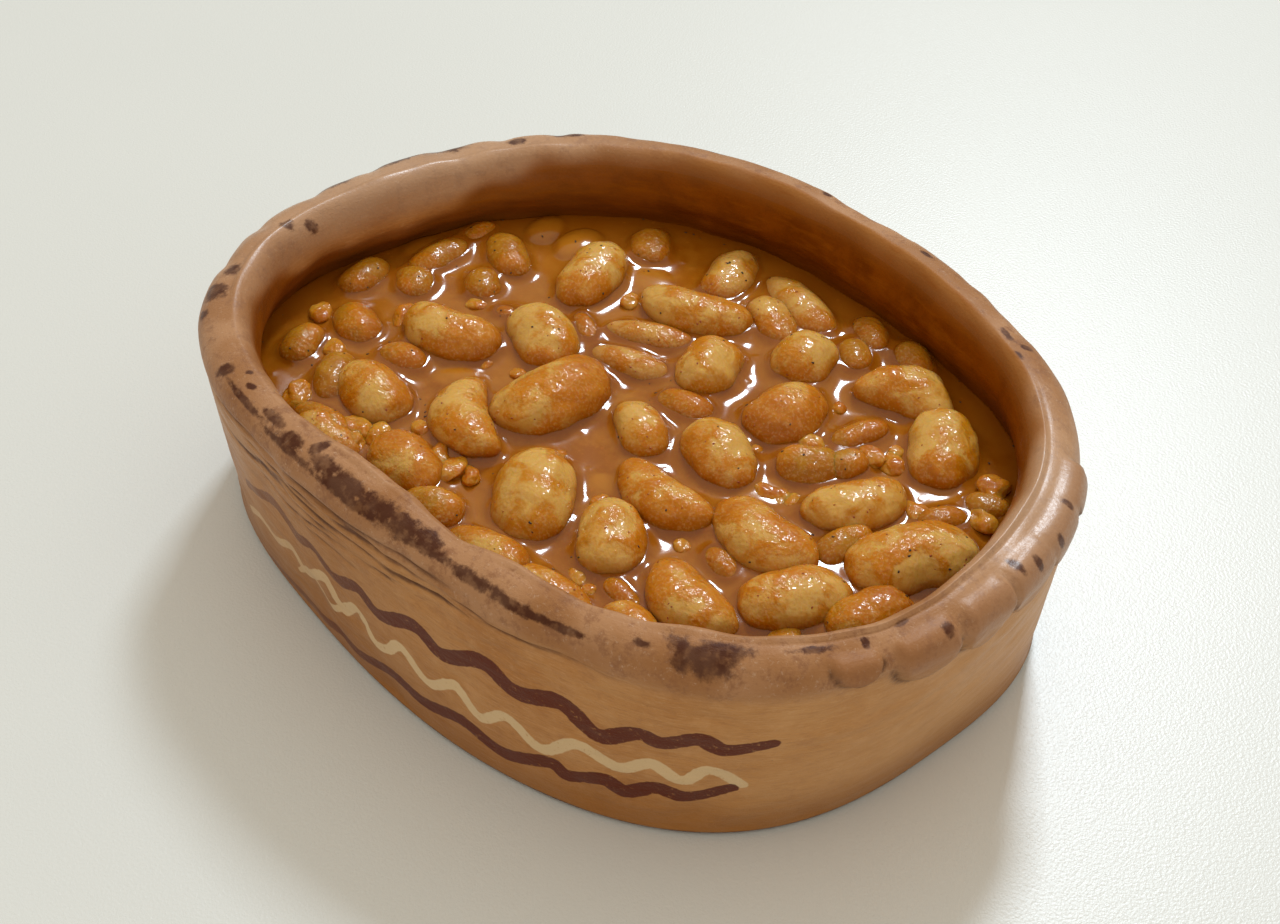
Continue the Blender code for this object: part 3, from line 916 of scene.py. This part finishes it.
def make_beans(name, beans, material, seed):
    """One piece with all beans of a kind, and the waterline of each."""
    unit, faces = ball(BEAN_FINENESS)
    shapes, coat, low, lines = [], [], [], []
    for i, bean in enumerate(beans):
        shape = keep_in_pot(bean_points(bean, unit, seed + i))
        lines.append(waterline(shape, faces))
        heading = turned(np.array([[1.0, 0, 0]]), bean.side)[0]
        facing = (shape - shape.mean(axis=0)) @ heading / (0.5 * bean.length)
        above = shape[:, 2] - SAUCE_LEVEL
        coat.append(bean.coat * 0.8 + 0.4 * facing + 0.3 * np.exp(-above / 2.0))
        low.append(0.85 * smooth((5.0 - above) / 5.0))
        shapes.append(shape)
    values = {"coat": np.concatenate(coat), "low": np.concatenate(low)}
    thing = make_mesh(name, *together(shapes, faces), material, values)
    place(thing)
    return thing, lines


# ---------------- crushed beans and specks

# Crushed bits: middle, size and height, of which a share shows
Bit = namedtuple("Bit", "x y size rise")
BITS = rows(
    Bit,
    (-18, -37, 5, 3), (-13, -39, 6, 3.5), (-9, -37, 4, 2.5), (-36, -44, 6, 4), (-31, -42, 5, 4),
    (-33, -47, 5, 4), (-27, -34, 4, 2), (-53, -45, 6, 4), (26, -42, 4, 2), (30, -43, 3, 2),
    (-26, 26, 4, 2.5), (-23, 28, 3, 2), (49, 24, 5, 2.5), (37, 1, 7, 2), (41, 2, 4, 1.5), (64, -28, 5, 3),
    (70, 14, 5, 3), (72, 22, 5, 4), (68, 31, 6, 4), (62, 15, 5, 3), (45, 22, 5, 3), (33, 17, 5, 3),
    (-58, -12, 5, 3), (-60, -30, 5, 3), (-72, -24, 5, 3), (12, -42, 4, 2), (14, -24, 3, 1.5),
    (34, -22, 3, 1.5), (52, -42, 6, 4), (0, 30, 3, 1.5), (30, 30, 3, 1.5), (47, 27, 3, 2),
    (-1, -20, 3, 1.2), (-33, -10, 3, 1.2), (-26, -8, 3, 1.5), (73, 3, 5, 3), (74, -6, 4, 3),
    (-20, -52, 6, 4), (-50, 2, 4, 1.5), (26, 8, 3, 1.5),
)
BIT_SHOWS = 0.75


def make_bits(material):
    """Split and crushed beans and loose skins, as one piece."""
    unit, faces = ball(BIT_FINENESS)
    shapes = []
    for i, bit in enumerate(BITS):
        rng = np.random.default_rng(SEED + 900 + i)
        ball_points = unit * bit.size
        rough = 1 + 0.12 * ripples(ball_points, 8, 900 + i) + 0.025 * ripples(ball_points, 3, 950 + i)
        shape = unit * rough[:, None] * bit.size / 2 * (1.4, 1.0, 0.6)
        shape = turned(shape, rng.uniform(0, 360)) + (bit.x, bit.y, 0)
        shape[:, 2] += SAUCE_LEVEL + bit.rise * BIT_SHOWS - shape[:, 2].max()
        shapes.append(keep_in_pot(shape))
    points, all_faces = together(shapes, faces)
    above = points[:, 2] - SAUCE_LEVEL
    coat = 0.45 + 0.35 * ripples(points, 6, 980) + 0.4 * np.exp(-above / 1.2)
    values = {"coat": coat, "low": 0.5 * smooth((1.2 - above) / 2)}
    thing = make_mesh("crushed_beans", points, all_faces, material, values)
    place(thing)


def surface_spots(thing, count, seed, low, shift):
    """Random upward-facing spots of a mesh above a height, each with its normal, in millimetres."""
    rng = np.random.default_rng(SEED + seed)
    mesh = thing.data
    at = np.empty(len(mesh.vertices) * 3)
    mesh.vertices.foreach_get("co", at)
    at = at.reshape(-1, 3) / MM
    up = np.empty(len(mesh.vertices) * 3)
    mesh.vertex_normals.foreach_get("vector", up)
    up = up.reshape(-1, 3)
    good = np.flatnonzero((up[:, 2] > 0.25) & (at[:, 2] > low))
    chosen = rng.choice(good, count, replace=False)
    return at[chosen] + up[chosen] * shift, up[chosen]


def make_specks(name, spots, sizes, flat, material, seed):
    """Tiny rough grains lying on the food, one at each spot."""
    unit, faces = ball(1)
    shapes = []
    rng = np.random.default_rng(SEED + seed)
    for at, up in zip(*spots):
        shape = unit * (1 + 0.25 * rng.normal(size=(len(unit), 1))) * rng.uniform(*sizes) / 2
        shape = turned(shape * (1.3, 0.9, flat), rng.uniform(0, 360))
        spin = Vector((0, 0, 1)).rotation_difference(Vector(up)).to_matrix()
        shapes.append(shape @ np.array(spin).T + at)
    thing = make_mesh(name, *together(shapes, faces), material)
    place(thing)


# ---------------- the sauce

GRAVY_GRAINS = 420


def sauce_outline(angle):
    """x and y of the sauce's edge, a little inside the clay so that no gap shows."""
    x, y = outside(angle, SAUCE_LEVEL)
    inset = WALL - 0.5 + thicker(angle)
    return x - inset * np.cos(angle), y - inset * np.sin(angle)


def square_to_disc(cells):
    """An even grid of points over the unit disc, row by row."""
    line = np.linspace(-1, 1, cells + 1)
    u, v = np.meshgrid(line, line)
    return (u * np.sqrt(1 - v * v / 2)).ravel(), (v * np.sqrt(1 - u * u / 2)).ravel()


def near_bean(x, y, line, middle):
    """The points near a bean's waterline, and how far each lies outside it."""
    reach = 9.0
    near = np.flatnonzero(
        (x > line[:, 0].min() - reach) & (x < line[:, 0].max() + reach)
        & (y > line[:, 1].min() - reach) & (y < line[:, 1].max() + reach)
    )
    px, py = x[near], y[near]
    far = np.full(px.shape, 1e9)
    for spot in line[::2]:
        far = np.minimum(far, (px - spot[0]) ** 2 + (py - spot[1]) ** 2)
    far = np.sqrt(far)
    angle = np.arctan2(line[:, 1] - middle[1], line[:, 0] - middle[0])
    radius = np.hypot(line[:, 0] - middle[0], line[:, 1] - middle[1])
    here = np.arctan2(py - middle[1], px - middle[0])
    edge = np.interp(here, angle, radius, period=2 * math.pi)
    inside = np.hypot(px - middle[0], py - middle[1]) < edge
    return near, np.where(inside, 0, far)


def closed_below(points):
    """The sauce's points and faces, with a skirt round the edge and a flat underside added."""
    side = SAUCE_CELLS + 1
    grid = np.arange(side**2).reshape(side, side)
    quads = np.stack((grid[:-1, :-1], grid[:-1, 1:], grid[1:, 1:], grid[1:, :-1]), -1).reshape(-1, 4)
    rim = np.concatenate((grid[0, :-1], grid[:-1, -1], grid[-1, :0:-1], grid[:0:-1, 0]))
    bottom = SAUCE_LEVEL - SAUCE_DEPTH
    low = points[rim] * (0.985, 0.985, 1)
    low[:, 2] = bottom
    first, count = len(points), len(rim)
    here = np.arange(count)
    there = (here + 1) % count
    skirt = np.stack((rim[here], first + here, first + there, rim[there]), -1)
    under = np.stack((first + there, first + here, np.full(count, first + count)), -1)
    return np.vstack((points, low, ((0, 0, bottom),))), (quads, skirt, under)


def make_sauce(lines, material):
    """The sauce to its level: it climbs the clay and every bean, and swells over those just under it."""
    disc_x, disc_y = square_to_disc(SAUCE_CELLS)
    angle = np.arctan2(disc_y, disc_x)
    share = np.hypot(disc_x, disc_y)
    edge_x, edge_y = sauce_outline(angle)
    x, y = edge_x * share, edge_y * share
    flat = np.stack((x, y, np.zeros_like(x)), -1)
    z = 0.10 * ripples(flat, 30, 41) + 0.03 * ripples(flat, 9, 42)
    thin = np.zeros_like(z)
    shade = np.zeros_like(z)
    rise = np.zeros_like(z)
    for line, middle, height in lines:
        near, far = near_bean(x, y, line, middle)
        rise[near] += (height + 0.25) * np.exp(-far / 1.35) * (1 + 0.12 * ripples(flat[near], 7, 43))
        shade[near] = np.maximum(shade[near], 0.85 * np.exp(-far / 1.3))
    from_wall = (1 - share) * np.hypot(edge_x, edge_y)
    rise += 0.35 * np.exp(-np.maximum(from_wall - 0.5, 0) / 1.4)
    shade = np.maximum(shade, 0.95 * np.exp(-from_wall / 8))
    z += np.where(rise > 1.2, 1.2 + 0.6 * (1 - np.exp(-(rise - 1.2) / 0.6)), rise)

    # Swells over sunk beans
    for bean in SUNK_BEANS:
        local = turned(np.stack((x - bean.x, y - bean.y, np.zeros_like(x)), -1), -bean.turn)
        inside = 1 - (local[:, 0] / (bean.length / 2)) ** 2 - (local[:, 1] / (bean.width / 2)) ** 2
        dome = bean.rise * np.sqrt(np.clip(inside, 0, None)) * 1.6 - 0.6 * bean.rise
        z = np.logaddexp(z / 0.25, np.where(inside > 0, dome, -2.0) / 0.25) * 0.25
        thin = np.maximum(thin, smooth(inside * 1.3) * min(1.0, 0.45 + 0.3 * bean.rise))

    # Fine grains of onion, pepper and bean that make the gravy thick
    rng = np.random.default_rng(SEED + 44)
    for _ in range(GRAVY_GRAINS):
        size = rng.uniform(0.45, 1.0)
        at = rng.uniform((-82, -60), (82, 62))
        near = np.flatnonzero((np.abs(x - at[0]) < 3 * size) & (np.abs(y - at[1]) < 3 * size))
        far = (x[near] - at[0]) ** 2 + (y[near] - at[1]) ** 2
        z[near] += size * rng.uniform(0.05, 0.22) * np.exp(-far / size**2)
    points, faces = closed_below(np.stack((x, y, z + SAUCE_LEVEL), -1))
    hidden = np.zeros(len(points) - len(z))
    values = {"thin": np.concatenate((thin, hidden)), "shade": np.concatenate((shade, hidden))}
    sauce = make_mesh("bean_sauce_surface", points, faces, material, values)
    place(sauce)
    return sauce


def make_food():
    """The beans, the bits, the sauce that meets them, and the specks on all of these."""
    whole = bean_material("cooked_bean", (0.65, 0.365, 0.080), (0.55, 0.210, 0.004))
    filmed = bean_material("filmed_bean", (0.44, 0.190, 0.006), (0.38, 0.133, 0.001))
    crushed = bean_material("crushed_bean", (0.56, 0.245, 0.018), (0.48, 0.17, 0.003))
    large, large_lines = make_beans("large_beans", BEANS, whole, 100)
    small, small_lines = make_beans("small_beans", SMALL_BEANS, filmed, 200)
    make_bits(crushed)
    sauce = make_sauce(large_lines + small_lines, sauce_material())

    pepper = plain_material("black_pepper", (0.035, 0.018, 0.010), (0.09, 0.045, 0.02), 0.4, 0.6)
    paprika = plain_material("paprika", (0.32, 0.05, 0.008), (0.45, 0.10, 0.012), 0.4, 0.45)
    above = SAUCE_LEVEL + 1.5
    for name, thing, count, material, sizes, seed in (
        ("pepper_on_beans", large, 70, pepper, (0.2, 0.6), 301),
        ("pepper_on_small_beans", small, 40, pepper, (0.25, 0.6), 302),
        ("paprika_on_beans", large, 260, paprika, (0.2, 0.5), 303),
    ):
        spots = surface_spots(thing, count, seed, above, 0.02)
        make_specks(name, spots, sizes, 0.45, material, seed + 10)
    spots = surface_spots(sauce, 160, 304, SAUCE_LEVEL - 1, 0.0)
    make_specks("pepper_in_sauce", spots, (0.25, 0.65), 0.5, pepper, 314)


# ---------------- floor, light and camera

# The camera: where it looks on the floor, how far it stands, its height angle, its turn and its lens
LOOK_AT = Vector((-15.65, 18.37, 0)) * MM
DISTANCE = 413.07 * MM
ELEVATION = math.radians(42.02)
AZIMUTH = math.radians(43.73)
LENS = 50.625
SENSOR = 36.0


def make_floor():
    bpy.ops.mesh.primitive_plane_add(size=4)
    floor = bpy.context.object
    floor.name = "table_top"
    floor.data.materials.append(floor_material())


def area_light(name, direction, elevation, distance, width, height, power, colour):
    """A soft box that faces the pot, from a direction in degrees anticlockwise from +X."""
    light = bpy.data.lights.new(name, "AREA")
    light.shape = "RECTANGLE"
    light.size = width
    light.size_y = height
    light.energy = power
    light.color = colour
    thing = bpy.data.objects.new(name, light)
    turn, lift = math.radians(direction), math.radians(elevation)
    out = Vector((math.cos(turn) * math.cos(lift), math.sin(turn) * math.cos(lift), math.sin(lift)))
    thing.location = out * distance
    thing.rotation_euler = out.to_track_quat("Z", "Y").to_euler()
    bpy.context.scene.collection.objects.link(thing)


def make_light():
    area_light("window", 117, 48, 3.0, 0.46, 0.54, 44.0, (0.80, 0.91, 1.0))
    bpy.context.scene.world = bpy.data.worlds.new("soft_studio")
    n = Nodes(bpy.context.scene.world, "Background")
    # Brighter overhead than at the height of the table's edge
    split = n.new("ShaderNodeSeparateXYZ")
    n.plug(n.coordinates["Generated"], split.inputs[0])
    lift = n.ramp(split.outputs["Z"], 0.0, 0.8, 0.42, 0.84, "LINEAR")
    # The dim room shows less in gloss than it lights the matt surfaces
    glossy = n.new("ShaderNodeLightPath").outputs["Is Glossy Ray"]
    dim = n.ramp(glossy, 0.0, 1.0, 1.0, 0.45, "LINEAR")
    n.set(Color=(1.0, 0.93, 0.80, 1.0), Strength=n.times(lift, dim))


def make_camera():
    camera = bpy.data.cameras.new("camera")
    camera.sensor_width = SENSOR
    camera.lens = LENS
    camera.clip_start = 0.01
    thing = bpy.data.objects.new("camera", camera)
    level = math.cos(ELEVATION)
    back = Vector((math.sin(AZIMUTH) * level, -math.cos(AZIMUTH) * level, math.sin(ELEVATION)))
    thing.location = LOOK_AT + back * DISTANCE
    thing.rotation_euler = back.to_track_quat("Z", "Y").to_euler()
    bpy.context.scene.collection.objects.link(thing)
    bpy.context.scene.camera = thing


make_pot()
make_food()
make_floor()
make_light()
make_camera()
bpy.context.scene.view_settings.view_transform = "Standard"
